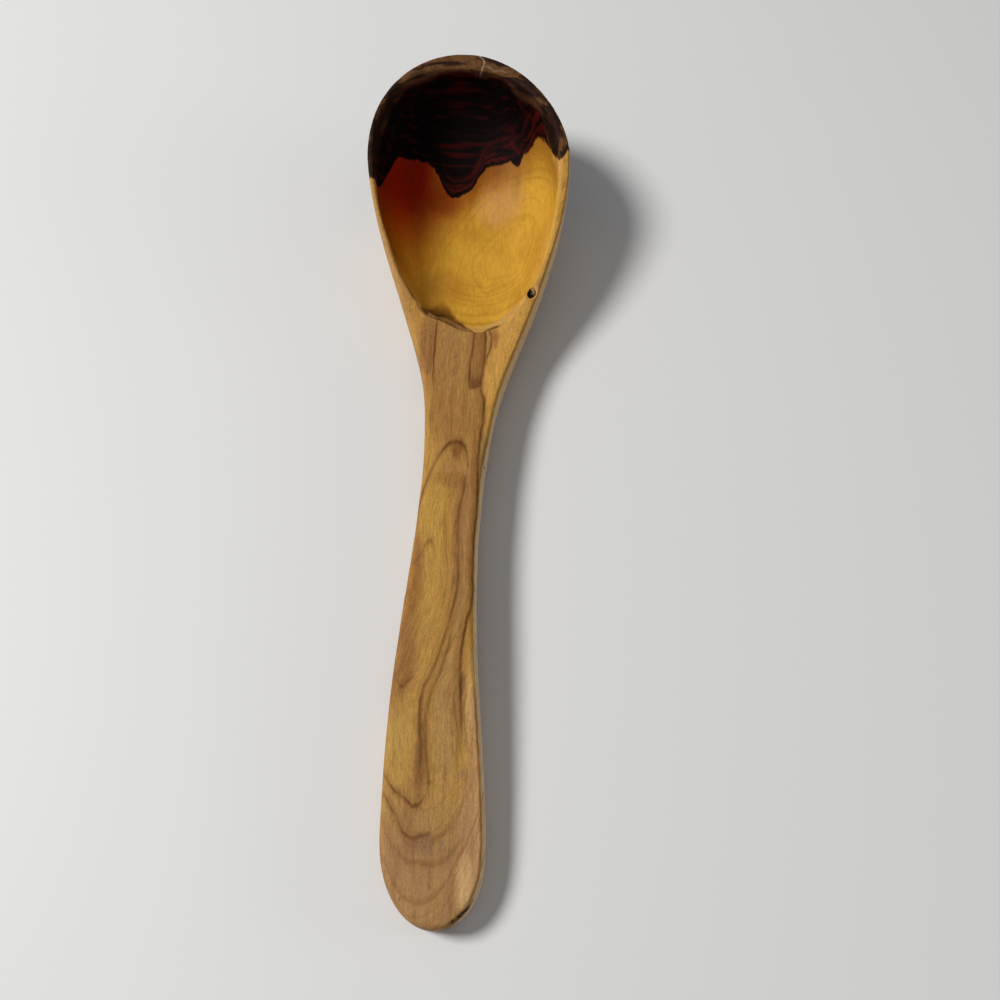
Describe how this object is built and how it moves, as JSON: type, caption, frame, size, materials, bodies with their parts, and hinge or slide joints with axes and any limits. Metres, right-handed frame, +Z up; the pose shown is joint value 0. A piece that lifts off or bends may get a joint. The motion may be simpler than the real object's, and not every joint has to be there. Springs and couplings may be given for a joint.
{
  "type": "wooden ladle",
  "caption": "Hand-carved wooden ladle with an egg-shaped bowl, rising rim, slim neck and rounded flat handle, for serving soup and sauce.",
  "frame": {"origin": "on the table, under the middle of the ladle's box", "axes": "+Y along the ladle from the handle's end to the bowl's tip, +Z up out of the bowl, +X to the right of someone who holds the handle"},
  "size_m": [0.0743, 0.305, 0.043],
  "materials": {
    "olive_wood": "oiled, satin, with dark heartwood in the bowl",
    "knot_wood": "dark bark ring with a pale core, matt"
  },
  "bodies": {
    "root": {"ladle_body": "olive_wood", "rim_knot": "knot_wood"}
  },
  "joints": []
}
